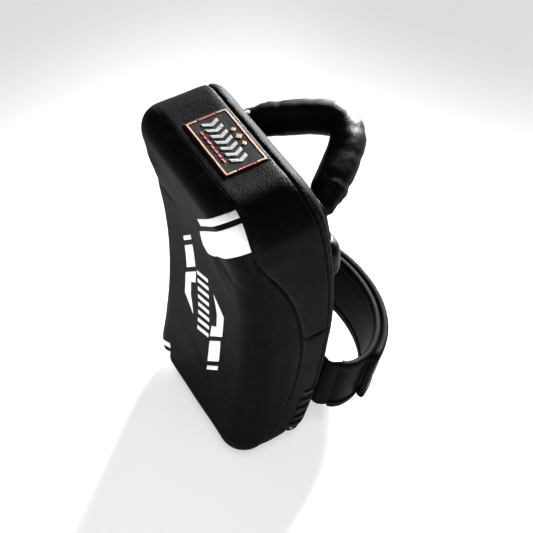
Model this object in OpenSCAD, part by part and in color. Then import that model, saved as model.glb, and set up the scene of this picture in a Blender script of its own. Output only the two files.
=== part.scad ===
// Curved thai pad: a laced leather-covered foam shield that stands on its flat lower end.
// X runs across the width, -Y is the striking face, +Y the arm side, Z up the length.
// The origin is the middle of the lower end face.

/* [Pad] */
// Width across the striking face, mm
pad_width = 192; // [170:1:210]
// Length from the lower end to the hand end, mm
pad_height = 390; // [350:1:430]
// Corner radius of the outline at the hand end, mm
top_corner = 40; // [36:1:50]
// Corner radius of the outline at the lower end, mm
bottom_corner = 34; // [33:1:50]
// Rounding around the striking face, mm
face_round = 28; // [20:1:30]
// Rounding around the arm side, mm
back_round = 11; // [8:1:14]
// Distance from the origin plane to the hollow of the striking face, mm
face_depth = 31; // [26:1:36]
// Radius of the hollow of the striking face, mm
face_radius = 770; // [660:5:900]
// Height of the deepest point of the hollow, mm
face_mid = 182; // [170:1:200]
// Distance from the origin plane to the crown of the arm side, mm
back_depth = 63; // [58:1:68]
// Radius of the crown of the arm side, mm
back_radius = 620; // [560:5:800]
// Thickness of the leather cover, mm
cover = 2; // [1.5:0.1:2.5]

/* [Seams] */
// Radius of the side seam between face panel and gusset, mm
seam_radius = 280; // [260:1:320]
// Height of the middle of the side seam, mm
seam_height = 165; // [150:1:180]
// Depth of the side seam at its middle, mm
seam_depth = 25; // [15:1:30]
// Height of the join between the two gussets, mm
gusset_join = 191; // [180:1:205]

/* [Handle] */
// Height of the handle, mm
handle_height = 334; // [312:1:334]
// Diameter of the padded handle, mm
handle_d = 34; // [30:1:36]
// Distance between the sewn roots, mm
handle_span = 126; // [120:1:132]
// Reach of the handle's centre line behind the pad, mm
handle_reach = 77; // [72:1:80]

/* [Strap] */
// Height of the middle of the forearm strap, mm
strap_height = 82; // [80:1:98]
// Width of the strap along the forearm, mm
strap_width = 72; // [66:1:76]
// Thickness of one padded layer of the strap, mm
strap_thick = 6; // [5:0.5:7]
// Reach of the strap behind the pad, mm
strap_reach = 120; // [110:1:124]

/* [Lacing] */
// Diameter of the lace, mm
lace_d = 2.4; // [2:0.1:2.4]
// Number of lace crossings
lace_turns = 27; // [21:2:29]

/* [Label] */
// Length of the woven label across the hand end, mm
label_length = 74; // [60:1:84]
// Height of the woven label, mm
label_height = 44; // [34:1:46]

/* [Hidden] */

half = pad_width / 2;
big = 2 * pad_height;
seam_gap = 0.5;
fit = 0.3;
corner_steps = 9;
side_steps = 14;
face_steps = 7;
back_steps = 4;
back_mid = pad_height / 2 - 5;
seam_front = -37;
lace_edge = 10;
lace_slit = 23.7;
lace_from = 92;
strike_foam_thick = 30;
backing_foam_thick = 18;
leather = "#17171a";
leather_light = "#232326";
foam_colour = "#3a3d42";
print_white = "#f2f2f0";

// ---- Side profile: both long faces are arcs, given as y over z ----

function arc_y(apex, radius, middle, z) = apex - radius + sqrt(radius * radius - pow(z - middle, 2));

function face_y(z) = arc_y(-face_depth, face_radius, face_mid, z);

function back_y(z) = arc_y(back_depth, back_radius, back_mid, z);

function back_slope(z) = asin((z - back_mid) / back_radius);

// ---- The pad as one solid, shrunk by g on every side ----

// Right half of the outline, upwards: [centre x, centre z, radius, angle] of each point
function outline_right(g) = concat(
    [for (i = [0 : corner_steps])
        [half - bottom_corner, bottom_corner, bottom_corner - g, -90 + 90 * i / corner_steps]],
    [for (i = [1 : side_steps - 1])
        [half - bottom_corner, bottom_corner + (pad_height - bottom_corner - top_corner) * i / side_steps,
            bottom_corner - g, 0]],
    [for (i = [0 : corner_steps])
        [half - top_corner, pad_height - top_corner, top_corner - g, 90 * i / corner_steps]]);

function outline_xz(q, inset) = [q[0] + (q[2] - inset) * cos(q[3]), q[1] + (q[2] - inset) * sin(q[3])];

// One ring: the outline moved in by inset, at the given depth behind the face or before the back
function ring_right(g, inset, depth, on_face) = [for (q = outline_right(g))
    let (p = outline_xz(q, inset))
    [p[0], on_face ? face_y(p[1]) + g + depth : back_y(p[1]) - g - depth, p[1]]];

function mirror_ring(ring) = [for (i = [len(ring) - 1 : -1 : 0]) [-ring[i][0], ring[i][1], ring[i][2]]];

function full_ring(g, inset, depth, on_face) =
    let (right = ring_right(g, inset, depth, on_face)) concat(right, mirror_ring(right));

function rounded_rings(g, radius, steps, on_face) = [for (i = [0 : steps])
    let (a = 90 * i / steps, r = radius - g) full_ring(g, r * (1 - cos(a)), r * (1 - sin(a)), on_face)];

function reversed(list) = [for (i = [len(list) - 1 : -1 : 0]) list[i]];

function flatten(lists) = [for (l = lists) for (v = l) v];

// A closed solid over equal rings, closed at both ends by level strips
module ring_solid(rings) {
    n = len(rings[0]);
    last = (len(rings) - 1) * n;
    walls = [for (k = [0 : len(rings) - 2]) for (i = [0 : n - 1]) for (t = [0, 1])
        let (a = k * n + i, b = k * n + (i + 1) % n)
        t == 0 ? [a, b, b + n] : [a, b + n, a + n]];
    front = [for (i = [0 : n / 2 - 2]) [i, n - 1 - i, n - 2 - i, i + 1]];
    back = [for (i = [0 : n / 2 - 2]) [last + i, last + i + 1, last + n - 2 - i, last + n - 1 - i]];
    polyhedron(flatten(rings), concat(walls, front, back), convexity = 6);
}

module pad_solid(g) {
    ring_solid(concat(reversed(rounded_rings(g, face_round, face_steps, true)),
        rounded_rings(g, back_round, back_steps, false)));
}

module cover_shell(inner = cover, outer = 0) {
    difference() {
        pad_solid(outer);
        pad_solid(inner);
    }
}

// ---- Cutters: shapes drawn in the YZ plane and run across the width ----

module across(width = big) {
    rotate([90, 0, 90]) linear_extrude(width, center = true) children();
}

// Everything in front of the side seam, moved back by g
module front_zone(g) {
    across() {
        translate([seam_depth - seam_radius, seam_height]) circle(r = seam_radius + g, $fn = 180);
        translate([seam_front + g - pad_height, seam_height]) square(pad_height);
    }
}

// Everything in front of a line that follows the arm side, moved forward by g
module before_back(g) {
    across() translate([back_depth - back_radius, back_mid]) circle(r = back_radius - g, $fn = 360);
}

// Everything in front of a line that follows the striking face, moved back by g
module before_face(g) {
    across() translate([-face_depth - face_radius, face_mid]) circle(r = face_radius + g, $fn = 360);
}

module height_zone(low, high) {
    translate([-big / 2, -big / 2, low]) cube([big, big, high - low]);
}

// Everything behind the front edge of the laced opening, up to its upper end
module lace_zone(g) {
    difference() {
        height_zone(-big / 2, lace_from - g);
        before_back(lace_slit - g);
    }
}

// ---- Cover ----

module front_panel() {
    color(leather) intersection() {
        cover_shell();
        front_zone(0);
    }
}

module gusset(low, high) {
    color(leather_light) intersection() {
        difference() {
            cover_shell();
            front_zone(seam_gap);
        }
        before_back(lace_edge);
        height_zone(low, high);
    }
}

module gusset_upper() {
    gusset(gusset_join + seam_gap / 2, big);
}

// Its back edge stands further forward beside the lacing
module gusset_lower() {
    difference() {
        gusset(-big / 2, gusset_join - seam_gap / 2);
        color(leather_light) lace_zone(0);
    }
}

module back_panel() {
    color(leather) difference() {
        cover_shell();
        before_back(lace_edge - seam_gap);
    }
}

// ---- Filling ----

module strike_foam() {
    color(foam_colour) intersection() {
        pad_solid(cover + fit);
        before_face(strike_foam_thick);
    }
}

module core_foam() {
    color("#55585e") intersection() {
        difference() {
            pad_solid(cover + fit);
            before_face(strike_foam_thick + fit);
        }
        before_back(backing_foam_thick);
    }
}

module backing_foam() {
    color("#2a2c30") difference() {
        pad_solid(cover + fit);
        before_back(backing_foam_thick - fit);
    }
}

// ---- Pieces sewn onto the arm side ----

// A layer from depth low to depth high over the arm side, within a rectangle of the XZ plane
module back_layer(low, high, x_range, z_range) {
    intersection() {
        difference() {
            pad_solid(-high);
            pad_solid(-low);
        }
        translate([x_range[0], 0, z_range[0]]) cube([x_range[1] - x_range[0], big, z_range[1] - z_range[0]]);
    }
}

cushion_thick = 16;
cushion_low = 244;
cushion_high = 296;
cushion_half = 86;
cushion_corner = 14;

// Rounded rectangle in the XZ plane at a height y
function plate_ring(hx, hz, corner, y) = [for (q = [0 : 3]) for (i = [0 : 6])
    let (a = 90 * q + 15 * i, sx = q == 0 || q == 3 ? 1 : -1, sz = q < 2 ? 1 : -1)
    [sx * (hx - corner) + corner * cos(a), y, sz * (hz - corner) + corner * sin(a)]];

// Rings joined by walls; both ends are flat faces
module lofted(rings) {
    n = len(rings[0]);
    m = len(rings);
    walls = [for (k = [0 : m - 2]) for (i = [0 : n - 1]) for (t = [0, 1])
        let (a = k * n + i, b = k * n + (i + 1) % n)
        t == 0 ? [a, b + n, b] : [a, a + n, b + n]];
    polyhedron(flatten(rings), concat(walls, [[for (i = [0 : n - 1]) i]],
        [[for (i = [n - 1 : -1 : 0]) (m - 1) * n + i]]), convexity = 12);
}

// Rounded bar across the width that cushions the forearm below the hand
module hand_cushion() {
    half_z = (cushion_high - cushion_low) / 2;
    color(leather) on_back((cushion_low + cushion_high) / 2)
        lofted([for (k = [6 : -1 : 0]) let (a = 15 * k, inset = cushion_corner * 0.9 * (1 - cos(a)))
            plate_ring(cushion_half - inset, half_z - inset, cushion_corner - inset,
                fit + (cushion_thick - fit) * sin(a))]);
}

// Frame on the arm side at a height: +Y points straight out of the surface there
module on_back(z) {
    translate([0, back_y(z), z]) rotate([back_slope(z), 0, 0]) children();
}

root_thick = 3;
handle_root_w = 46;
handle_root_h = 56;

module handle_root(side) {
    x = side * handle_span / 2;
    color(leather_light) back_layer(fit, root_thick,
        [x - handle_root_w / 2, x + handle_root_w / 2],
        [handle_height - handle_root_h / 2, handle_height + handle_root_h / 2]);
}

module handle_root_left() {
    handle_root(-1);
}

module handle_root_right() {
    handle_root(1);
}

strap_root_in = 56;
strap_root_out = 84;

module strap_root(side) {
    x_range = side > 0 ? [strap_root_in, strap_root_out] : [-strap_root_out, -strap_root_in];
    color(leather_light) back_layer(fit, root_thick, x_range,
        [strap_height - strap_width / 2 - 2, strap_height + strap_width / 2 + 2]);
}

module strap_root_left() {
    strap_root(-1);
}

module strap_root_right() {
    strap_root(1);
}

// ---- Handle: a padded tube on a rounded V, narrowing to a soft nose at each root ----

nose_r = 10;
handle_axis = root_thick + fit + nose_r + 0.4;
nose_steps = 5;
nose_round = 72;
handle_rings = 36;
handle_sides = 20;
handle_swell = 0.28;

function bezier(p, t) = p[0] * pow(1 - t, 3) + p[1] * 3 * t * pow(1 - t, 2)
    + p[2] * 3 * t * t * (1 - t) + p[3] * pow(t, 3);

handle_right = [[handle_span / 2, handle_axis], [handle_span / 2 - 18, handle_axis + 13],
    [handle_span / 5, handle_reach], [0, handle_reach]];

// Point of the handle's centre line in its own plane, s from -1 (left root) to 1 (right root)
function handle_point(s) = let (p = bezier(handle_right, 1 - abs(s))) [sign(s) * p[0], p[1]];

function handle_side(s) =
    let (a = handle_point(min(1, s + 0.01)), b = handle_point(max(-1, s - 0.01)), d = a - b)
    [-d[1], d[0]] / norm(d);

// Radius over the length: narrow at the roots, then the full tube
function handle_r(s, shrink) =
    nose_r + (handle_d / 2 - nose_r) * min(1, (1 - abs(s)) / handle_swell) - shrink;

// Ring of the tube at s; past the root (round > 0 degrees) it closes in as a round nose
function handle_ring(s, round, shrink) =
    let (c = handle_point(s), o = handle_side(s), t = [o[1], -o[0]], r = handle_r(s, shrink),
        p = c + sign(s) * r * sin(round) * t)
    [for (k = [0 : handle_sides - 1]) let (a = 360 * k / handle_sides, q = r * cos(round))
        [p[0] + q * cos(a) * o[0], p[1] + q * cos(a) * o[1], q * sin(a)]];

function handle_tube(shrink) = concat(
    [for (i = [nose_steps : -1 : 1]) handle_ring(-1, nose_round * i / nose_steps, shrink)],
    [for (i = [0 : handle_rings]) handle_ring(sin(-90 + 180 * i / handle_rings), 0, shrink)],
    [for (i = [1 : nose_steps]) handle_ring(1, nose_round * i / nose_steps, shrink)]);

// The cover is open at both roots, where it is drawn together over the core
module handle_cover() {
    rings = concat(handle_tube(0), reversed(handle_tube(cover)));
    n = handle_sides;
    m = len(rings);
    color(leather) on_back(handle_height) polyhedron(flatten(rings),
        [for (k = [0 : m - 1]) for (i = [0 : n - 1]) for (t = [0, 1])
            let (a = k * n + i, b = k * n + (i + 1) % n, up = k == m - 1 ? -k * n : n)
            t == 0 ? [a, b + up, b] : [a, a + up, b + up]], convexity = 8);
}

module handle_core() {
    color(foam_colour) on_back(handle_height) lofted(handle_tube(cover + 2 * fit));
}

// ---- Forearm strap: an outer layer from the left ends in a flap over a band from the right ----

strap_axis = [88, root_thick + fit + strap_thick / 2 + 0.4];
strap_steps = 26;
half_t = strap_thick / 2;
half_w = strap_width / 2;
patch_thick = 0.8;
binding_h = 9;
binding_over = 1.2;
binding_root = 0.09;
layer_gap = 0.15;

// Places along the strap: 0 is the left root, 1 the crown, 2 the right root
flap_fold = 1.03;
flap_end = 1.55;
band_end = 0.7;
fold_gap = 0.013;

// The band lies inside the outer layer, one strap and two bindings further in
band_shift = -(strap_thick + 2 * binding_over + 0.4);

strap_line = [strap_axis, [139, strap_axis[1] + 2], [106, strap_reach - half_t], [0, strap_reach - half_t]];

// Middle line of the outer layer in plan
function strap_point(u) = let (p = bezier(strap_line, u <= 1 ? u : 2 - u)) [(u <= 1 ? -1 : 1) * p[0], p[1]];

function strap_out(u) = let (d = strap_point(min(2, u + 0.01)) - strap_point(max(0, u - 0.01)))
    [-d[1], d[0]] / norm(d);

// Plan of a layer of the strap from u0 to u1, between two offsets from the middle line
module strap_plan(u0, u1, inner, outer) {
    us = [for (i = [0 : strap_steps]) u0 + (u1 - u0) * i / strap_steps];
    polygon(concat([for (u = us) strap_point(u) + outer * strap_out(u)],
        [for (u = reversed(us)) strap_point(u) + inner * strap_out(u)]));
}

module strap_layer(u0, u1, inner, outer, low, high) {
    on_back(strap_height) translate([0, 0, low]) linear_extrude(high - low) strap_plan(u0, u1, inner, outer);
}

// Rolled edge of a strap layer around a turning axis
module roll(centre) {
    on_back(strap_height) translate([centre[0], centre[1], -half_w])
        cylinder(h = strap_width, r = half_t, $fn = 32);
}

module strap_outer() {
    color(leather) {
        strap_layer(0, flap_fold - fold_gap, -half_t, half_t, -half_w, half_w);
        roll([-strap_axis[0], strap_axis[1]]);
    }
}

module strap_flap() {
    color(leather) {
        strap_layer(flap_fold, flap_end, -half_t, half_t, -half_w, half_w);
        roll(strap_point(flap_fold));
    }
}

// Folded tape over one long edge of a strap layer
module binding(u0, u1, shift, at_top) {
    low = at_top ? half_w - binding_h : -half_w - 1;
    high = at_top ? half_w + 1 : -half_w + binding_h;
    color(leather_light) difference() {
        strap_layer(u0, u1, shift - half_t - binding_over, shift + half_t + binding_over, low, high);
        strap_layer(u0 - 0.02, u1 + 0.02, shift - half_t - layer_gap, shift + half_t + layer_gap,
            -half_w - layer_gap, half_w + layer_gap);
    }
}

module outer_binding_upper() {
    binding(binding_root, flap_fold - 2 * fold_gap, 0, true);
}

module outer_binding_lower() {
    binding(binding_root, flap_fold - 2 * fold_gap, 0, false);
}

module flap_binding_upper() {
    binding(flap_fold + 2 * fold_gap, flap_end, 0, true);
}

module flap_binding_lower() {
    binding(flap_fold + 2 * fold_gap, flap_end, 0, false);
}

patch_half = half_w - binding_h - 3;

module hook_patch() {
    color("#101012") strap_layer(flap_fold + 2 * fold_gap, flap_end - 0.03, -half_t - patch_thick,
        -half_t - layer_gap, -patch_half, patch_half);
}

module strap_band() {
    color(leather) {
        strap_layer(band_end, 2 - binding_root, band_shift - half_t, band_shift + half_t, -half_w, half_w);
        band_tail();
    }
}

// Last stretch of the band, which eases out to the root
module band_tail() {
    shift = [for (i = [0 : 6]) band_shift * (1 - i / 6)];
    us = [for (i = [0 : 6]) 2 - binding_root * (1 - i / 6)];
    on_back(strap_height) translate([0, 0, -half_w]) linear_extrude(strap_width) polygon(concat(
        [for (i = [0 : 6]) strap_point(us[i]) + (shift[i] + half_t) * strap_out(us[i])],
        [for (i = [6 : -1 : 0]) strap_point(us[i]) + (shift[i] - half_t) * strap_out(us[i])]));
    roll(strap_axis);
}

module band_binding_upper() {
    binding(band_end, 2 - binding_root - 0.03, band_shift, true);
}

module band_binding_lower() {
    binding(band_end, 2 - binding_root - 0.03, band_shift, false);
}

module loop_patch() {
    color("#1c1c1f") strap_layer(flap_fold - 0.1, flap_end + 0.05, band_shift + half_t + layer_gap,
        band_shift + half_t + patch_thick, -patch_half, patch_half);
}

// ---- Lacing around the lower edge of the arm side ----

tongue_deep = 1.25;
tongue_thick = 0.7;

// Strip under the lacing that closes the opening between gusset and back panel
module lace_tongue() {
    color("#0d0d0f") intersection() {
        difference() {
            pad_solid(tongue_deep);
            pad_solid(tongue_deep + tongue_thick);
        }
        before_back(lace_edge - seam_gap + fit);
        lace_zone(fit);
    }
}

// ---- Printed and woven decoration ----

print_low = 0.08;
print_high = 0.45;

// A print on the striking face: its outline is drawn in the XZ plane
module face_print() {
    color(print_white) intersection() {
        difference() {
            pad_solid(-print_high);
            pad_solid(-print_low);
        }
        front_zone(-1);
        rotate([90, 0, 0]) linear_extrude(big) children();
    }
}

stripe_x = 24;
stripe_w = 20;
stripe_slant = 23;
print_mid = 176;

// A bar with parallel slanted ends, from its lower left corner up
module slanted_bar(low, length) {
    translate([stripe_x - stripe_w / 2, low])
        polygon([[0, 0], [stripe_w, stripe_slant], [stripe_w, stripe_slant + length], [0, length]]);
}

// Right-hand stripe: an end block, a bar and a bent piece that runs out in a tip
module stripe_shape() {
    slanted_bar(80, 7);
    slanted_bar(95, 35);
    translate([stripe_x - stripe_w / 2, 138])
        polygon([[0, 0], [stripe_w + 3, 26], [stripe_w + 6, 62], [7, 78], [13, 52], [12, 30], [2, 20]]);
}

module stripe_near() {
    face_print() stripe_shape();
}

module stripe_far() {
    face_print() translate([0, 2 * print_mid]) rotate(180) stripe_shape();
}

bar_count = 8;
bar_pitch = 13;

// Slanted bars down the middle of the face
module centre_bars() {
    face_print() for (i = [0 : bar_count - 1])
        translate([0, print_mid + bar_pitch * (i - bar_count / 2 + 0.5)])
            polygon([[-11, -8], [-11, -2], [11, 8], [11, 2]]);
}

band_angle = 48;

// Diagonal stripe and block that run into the upper right corner of the face
module corner_print_top() {
    face_print() translate([15, 309]) rotate(band_angle) {
        translate([16, 5]) square([152, 7]);
        polygon([[0, 0], [-14, -14], [-10, -22], [4, -26], [160, -26], [160, 0]]);
    }
}

// Diagonal stripe and block that run into the lower left corner of the face
module corner_print_bottom() {
    face_print() translate([-60, 42]) rotate(180 + band_angle - 14) {
        square([120, 6]);
        polygon([[2, 11], [12, 34], [30, 40], [120, 40], [120, 11]]);
    }
}

label_y = -6;
label_thick = 0.9;
thread_h = 0.35;

module label_plate(l, w, low, high) {
    translate([-l / 2, label_y - w / 2, pad_height + low]) cube([l, w, high - low]);
}

module label_patch() {
    color("#0c0c0e") label_plate(label_length, label_height, 0.05, label_thick);
}

// Woven frame: two long lines with returns round the corners
module label_border() {
    line = 1.4;
    outer = [label_length - 4.5, label_height - 4.5];
    color("#c98a55") difference() {
        label_plate(outer[0], outer[1], label_thick, label_thick + thread_h);
        label_plate(outer[0] - 2 * line, outer[1] - 2 * line, 0, 2);
        label_plate(label_length, outer[1] * 0.5, 0, 2);
    }
}

chevron_count = 7;
chevron_pitch = 8.2;

// Plain woven motif: a row of chevrons
module label_motif() {
    color("#d9d9d6") translate([0, label_y, pad_height + label_thick]) linear_extrude(thread_h)
        for (i = [0 : chevron_count - 1]) translate([chevron_pitch * (i - chevron_count / 2 + 0.5) - 1.5, 0])
            polygon([[-3.4, -8.6], [0.6, -8.6], [4.6, -0.6], [0.6, 7.4], [-3.4, 7.4], [0.6, -0.6]]);
}

// ---- The lace: one cord that crosses the lower edge again and again ----

lace_sides = 8;
lace_over = lace_d / 2 + fit;
lace_in = 0.05;
side_run = lace_from - bottom_corner;
corner_run = bottom_corner * PI / 2;
floor_run = pad_width - 2 * bottom_corner;
lace_run = 2 * side_run + 2 * corner_run + floor_run;

// Ends of a crossing in front of the back rounding (below zero: up on it), beside the
// opening on the side walls and round the lower edge, where it stays clear of the floor
side_ends = [lace_slit - back_round - lace_d / 2 - fit, lace_d / 2 + fit];
floor_ends = [-0.87 * back_round, -1.48 * back_round];

// Outline point at a distance along the lower edge, from the right side round to the left
function edge_q(d) =
    d < side_run ? [half - bottom_corner, lace_from - 3 - d, bottom_corner, 0] :
    d < side_run + corner_run ?
        [half - bottom_corner, bottom_corner, bottom_corner, -90 * (d - side_run) / corner_run] :
    [half - bottom_corner - (d - side_run - corner_run), bottom_corner, bottom_corner, -90];

function lace_half_point(d, w) =
    let (q = edge_q(d), side = pow(cos(q[3]), 2),
        ends = side * side_ends + (1 - side) * floor_ends, e = ends[0] + w * (ends[1] - ends[0]),
        a = max(0, -e / back_round * 180 / PI),
        lift = lace_over - (lace_over - lace_in) * max(0, min(1, e)),
        p = outline_xz(q, back_round * (1 - cos(a)) - lift * cos(a)))
    [p[0], back_y(p[1]) - back_round * (1 - sin(a)) - max(0, e) + lift * sin(a), p[1]];

// The left half of the edge mirrors the right one
function lace_point(d, w) = d <= lace_run / 2 ? lace_half_point(d, w) :
    let (p = lace_half_point(lace_run - d, w)) [-p[0], p[1], p[2]];

lace_path = [for (i = [0 : lace_turns - 1]) for (w = [0 : 0.25 : 1])
    let (go = i % 2 == 0 ? w : 1 - w) lace_point(lace_run * (i + w * 0.8) / (lace_turns - 0.2), go)];

function unit(v) = v / norm(v);

module lace() {
    n = lace_sides;
    m = len(lace_path);
    rings = [for (i = [0 : m - 1])
        let (p = lace_path[i], t = unit(lace_path[min(m - 1, i + 1)] - lace_path[max(0, i - 1)]),
            up = unit(cross(t, [0.3, 0.2, 0.93])), side = cross(t, up))
        [for (k = [0 : n - 1]) let (a = 360 * k / n)
            p + lace_d / 2 * (cos(a) * up + sin(a) * side)]];
    color("#1b1b1e") lofted(rings);
}

front_panel();
gusset_upper();
gusset_lower();
back_panel();
strike_foam();
core_foam();
backing_foam();
hand_cushion();
label_patch();
label_border();
label_motif();
stripe_far();
stripe_near();
centre_bars();
corner_print_top();
corner_print_bottom();
handle_root_left();
handle_root_right();
handle_cover();
handle_core();
strap_root_left();
strap_root_right();
strap_outer();
outer_binding_upper();
outer_binding_lower();
strap_flap();
flap_binding_upper();
flap_binding_lower();
hook_patch();
strap_band();
band_binding_upper();
band_binding_lower();
loop_patch();
lace_tongue();
lace();
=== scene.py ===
"""Curved thai pad: leather panels over foam, hand handle, forearm strap, lacing, prints and label."""

import math

import bmesh
import bpy
import numpy as np
from mathutils import Matrix, Vector
from mathutils import noise as mnoise
from mathutils.bvhtree import BVHTree


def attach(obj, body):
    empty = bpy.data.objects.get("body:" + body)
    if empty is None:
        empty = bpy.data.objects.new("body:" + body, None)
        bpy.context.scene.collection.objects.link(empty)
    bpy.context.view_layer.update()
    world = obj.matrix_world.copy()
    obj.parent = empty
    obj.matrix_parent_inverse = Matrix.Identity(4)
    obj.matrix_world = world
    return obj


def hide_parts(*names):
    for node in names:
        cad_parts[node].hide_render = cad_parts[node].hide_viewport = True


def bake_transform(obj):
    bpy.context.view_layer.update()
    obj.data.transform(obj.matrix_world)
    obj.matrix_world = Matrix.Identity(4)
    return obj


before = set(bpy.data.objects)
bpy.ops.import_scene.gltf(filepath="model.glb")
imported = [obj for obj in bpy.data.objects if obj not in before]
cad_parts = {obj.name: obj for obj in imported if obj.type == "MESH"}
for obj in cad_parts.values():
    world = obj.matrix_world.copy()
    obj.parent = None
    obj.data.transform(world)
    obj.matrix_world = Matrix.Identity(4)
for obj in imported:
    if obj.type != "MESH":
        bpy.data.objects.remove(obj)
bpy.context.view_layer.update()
scene = bpy.context.scene

# ------ camera

VIEW_FROM = Vector((0.55446, -0.32920, 1.01243))
VIEW_WAY = Vector((-0.52374, 0.35111, -0.77616))
VIEW_ROLL = math.radians(2.99)

cam_data = bpy.data.cameras.new("camera")
cam_data.lens = 69.86
cam_data.sensor_width = 36.0
cam = bpy.data.objects.new("camera", cam_data)
scene.collection.objects.link(cam)
forward = VIEW_WAY.normalized()
level = forward.cross(Vector((0, 0, 1))).normalized()
upright = level.cross(forward)
cam_x = level * math.cos(VIEW_ROLL) + upright * math.sin(VIEW_ROLL)
cam_y = upright * math.cos(VIEW_ROLL) - level * math.sin(VIEW_ROLL)
turn = Matrix((cam_x, cam_y, -forward)).transposed().to_4x4()
cam.matrix_world = Matrix.Translation(VIEW_FROM) @ turn
scene.camera = cam

# ------ the pad's own measures, mm

MM = 0.001
HALF, HEIGHT = 96.0, 390.0
TOP_CORNER, LOW_CORNER = 40.0, 34.0
FACE_ROUND, BACK_ROUND = 28.0, 11.0
# Arcs of the two long faces, seen from the side: y of the apex, radius, z of the apex
FACE_ARC = (-31.0, 770.0, 182.0)
BACK_ARC = (63.0, 620.0, 190.0)
GUSSET_JOIN = 191.0  # height of the seam across the gusset
LACE_FROM = 92.0  # the lacing runs round the lower edge below this height
LACE_SLIT, LACE_EDGE = 23.7, 10.0  # distance of the two edges of the laced opening from the arm side
SKIN_THICK, TONGUE_THICK = 1.3, 0.7
HANDLE_Z, STRAP_Z = 334.0, 82.0


def arc_y(arc, z):
    apex, radius, middle = arc
    return apex - radius + np.sqrt(radius * radius - (z - middle) ** 2)


def face_y(z):
    return arc_y(FACE_ARC, z)


def back_y(z):
    return arc_y(BACK_ARC, z)


def smooth(a, b, x):
    t = np.clip((x - a) / (b - a), 0, 1)
    return t * t * (3 - 2 * t)


def noise_at(points, scale, seed=0.0):
    """Smooth noise from -1 to 1 at points given in mm."""
    shift = Vector((seed * 17.3, seed * 5.1, seed * 9.7))
    return np.array([mnoise.noise(Vector(p) * scale + shift) for p in np.asarray(points, float)])


def unit(vectors):
    """Vectors brought to length 1."""
    return vectors / np.maximum(np.linalg.norm(vectors, axis=-1, keepdims=True), 1e-9)


def run_of(line):
    """Distance along a line of points, from the first one."""
    return np.concatenate([[0], np.cumsum(np.linalg.norm(np.diff(line, axis=0), axis=1))])


def along(at, run, values):
    """Rows of values at distances along a line."""
    return np.stack([np.interp(at, run, values[:, k]) for k in range(values.shape[1])], axis=-1)


# ------ materials


class Nodes:
    """Wires the nodes of one material."""

    def __init__(self, name):
        self.mat = bpy.data.materials.new(name)
        self.mat.use_nodes = True
        self.tree = self.mat.node_tree
        self.shader = self.tree.nodes["Principled BSDF"]
        self.coord = self.add("ShaderNodeTexCoord").outputs["Object"]

    def add(self, kind, **values):
        node = self.tree.nodes.new(kind)
        for key, value in values.items():
            if key in node.inputs:
                node.inputs[key].default_value = value
            else:
                setattr(node, key, value)
        return node

    def link(self, value, slot):
        """Links a node's output to a socket, or sets a number or a colour on it."""
        if isinstance(value, bpy.types.NodeSocket):
            self.tree.links.new(value, slot)
        else:
            slot.default_value = (*value, 1.0) if isinstance(value, tuple) else value

    def set(self, **values):
        for key, value in values.items():
            self.shader.inputs[key.replace("_", " ")].default_value = value

    def texture(self, kind, output, coord=None, **values):
        node = self.add("ShaderNodeTex" + kind, **values)
        self.link(coord or self.coord, node.inputs["Vector"])
        return node.outputs[output]

    def noise(self, scale, detail=3.0, rough=0.55):
        return self.texture("Noise", "Fac", Scale=scale, Detail=detail, Roughness=rough)

    def cells(self, scale, coord=None):
        return self.texture("Voronoi", "Distance", coord, Scale=scale)

    def pebbles(self, scale, coord=None):
        """Rounded cells that rise from 0 between them to 1 in their middles."""
        distance = self.texture("Voronoi", "Distance", coord, feature="SMOOTH_F1", Scale=scale,
                                Smoothness=0.35)
        return self.range(distance, 0.05, 0.75, 1.0, 0.0)

    def wave(self, scale, direction, distortion, coord=None):
        return self.texture("Wave", "Fac", coord, bands_direction=direction, Scale=scale,
                            Distortion=distortion)

    def math(self, op, a, b):
        node = self.add("ShaderNodeMath", operation=op)
        self.link(a, node.inputs[0])
        self.link(b, node.inputs[1])
        return node.outputs[0]

    def range(self, value, low, high, out_low, out_high):
        ends = {"From Min": low, "From Max": high, "To Min": out_low, "To Max": out_high}
        node = self.add("ShaderNodeMapRange", **ends)
        self.link(value, node.inputs["Value"])
        return node.outputs[0]

    def mix(self, fac, a, b):
        node = self.add("ShaderNodeMix", data_type="RGBA")
        for slot, value in ((0, fac), (6, a), (7, b)):
            self.link(value, node.inputs[slot])
        return node.outputs[2]

    def colour(self, value):
        self.link(value, self.shader.inputs["Base Color"])

    def rough(self, value):
        self.link(value, self.shader.inputs["Roughness"])

    def bump(self, *layers):
        """Layers of (height, depth in metres, strength)."""
        normal = None
        for height, depth, strength in layers:
            node = self.add("ShaderNodeBump", Distance=depth, Strength=strength)
            self.link(height, node.inputs["Height"])
            if normal:
                self.link(normal, node.inputs["Normal"])
            normal = node.outputs["Normal"]
        self.link(normal, self.shader.inputs["Normal"])


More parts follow.
